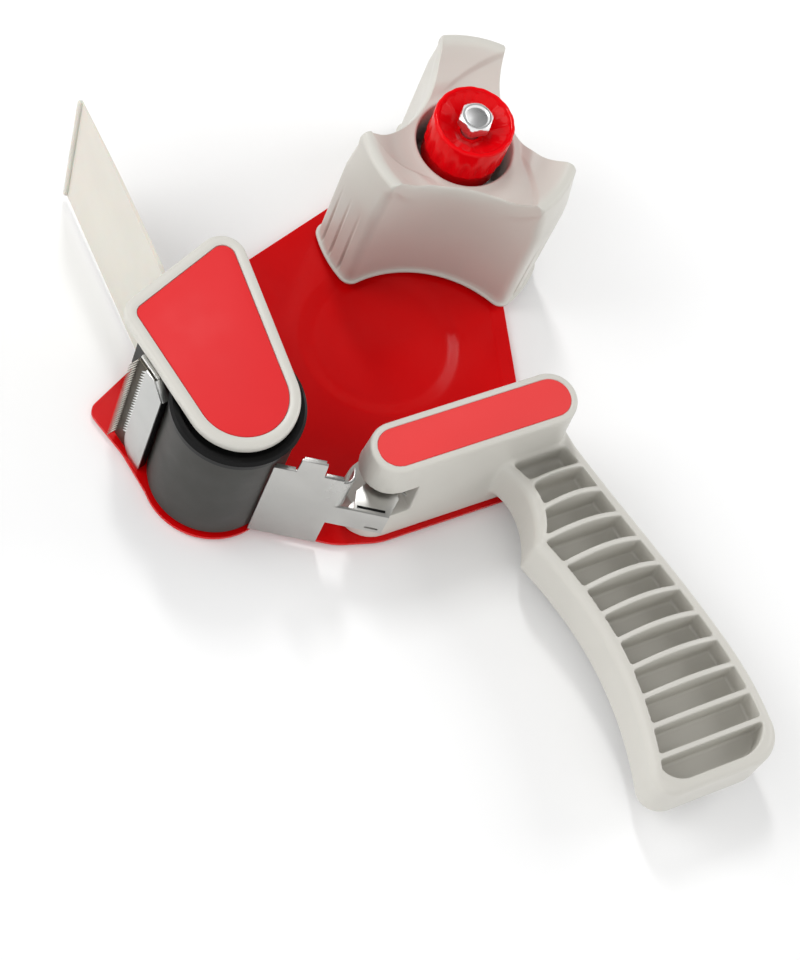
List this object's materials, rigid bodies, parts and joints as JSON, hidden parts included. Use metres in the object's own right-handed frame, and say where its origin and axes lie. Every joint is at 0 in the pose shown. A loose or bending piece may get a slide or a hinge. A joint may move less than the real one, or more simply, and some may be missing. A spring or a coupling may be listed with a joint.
{
  "type": "tape dispenser",
  "caption": "Hand-held packing-tape dispenser: steel side plate, lobed tape hub with brake knob, rubber roller under a cap, toothed blade, wiper flap, sprung guide plate and pistol grip.",
  "frame": {"origin": "on the tape hub's axis, at the level of the face the dispenser lies on", "axes": "+X along the handle arm towards its rear end, +Y up in use (the grip points to -Y), +Z along the hub axis away from the side plate"},
  "size_m": [0.1603, 0.2612, 0.07],
  "materials": {
    "painted_steel": "gloss",
    "light_abs": "satin",
    "red_inlay": "satin",
    "red_knob": "gloss",
    "roller_rubber": "matte",
    "black_plastic": "satin",
    "flap_plastic": "satin",
    "white_acetal": "satin",
    "zinc_steel": "satin",
    "blade_steel": "satin",
    "chromed_steel": "polished",
    "fibre": "matte"
  },
  "bodies": {
    "frame": {"side_plate": "painted_steel", "hub_axle": "zinc_steel", "friction_washer": "fibre", "brake_washer": "zinc_steel", "retaining_bolt": "zinc_steel", "roller_axle": "zinc_steel", "roller_clip": "zinc_steel", "front_cap": "light_abs", "front_cap_insert": "red_inlay", "cap_screws": "zinc_steel", "front_post": "zinc_steel", "front_bracket": "zinc_steel", "bracket_rivets": "zinc_steel", "blade": "blade_steel", "blade_guard": "zinc_steel", "flap_holder": "black_plastic", "holder_screws": "zinc_steel", "guide_pin": "zinc_steel", "guide_spring": "zinc_steel", "handle": "light_abs", "handle_insert": "red_inlay", "handle_screws": "zinc_steel"},
    "hub": {"hub": "light_abs", "hub_bush": "white_acetal"},
    "roller": {"roller_core": "black_plastic", "roller_sleeve": "roller_rubber", "roller_rim": "black_plastic"},
    "knob_carrier": {"thrust_washer": "zinc_steel", "brake_spring": "zinc_steel"},
    "knob": {"tension_knob": "red_knob"},
    "guide": {"guide_plate": "chromed_steel"},
    "flap": {"wiper_flap": "flap_plastic"}
  },
  "joints": [
    {"name": "hub_spin", "type": "hinge", "parent": "frame", "child": "hub", "pos_m": [0, 0, 0.03], "axis": [0, 0, 1], "continuous": true},
    {"name": "roller_spin", "type": "hinge", "parent": "frame", "child": "roller", "pos_m": [-0.1046, -0.061, 0.03], "axis": [0, 0, 1], "continuous": true},
    {"name": "knob_travel", "type": "slide", "parent": "frame", "child": "knob_carrier", "axis": [0, 0, 1], "range_m": [-0.00225, 0.00225], "deforming": ["brake_spring"]},
    {"name": "knob_turn", "type": "hinge", "parent": "knob_carrier", "child": "knob", "pos_m": [0, 0, 0.06], "axis": [0, 0, 1], "range_deg": [-541, 541]},
    {"name": "guide_hinge", "type": "hinge", "parent": "frame", "child": "guide", "pos_m": [-0.0635, -0.0895, 0.024], "axis": [0, 0, 1], "range_deg": [0, 25], "stiffness_Nm_per_rad": 0.03, "springref_deg": -22.92},
    {"name": "flap_flex", "type": "hinge", "parent": "frame", "child": "flap", "pos_m": [-0.1093, -0.02, 0.028], "axis": [0, 0, 1], "range_deg": [-30, 30], "stiffness_Nm_per_rad": 0.05}
  ],
  "couplings": [
    {"joint": "knob_turn", "follows": "knob_travel", "rad_per_m": 4188.8}
  ]
}
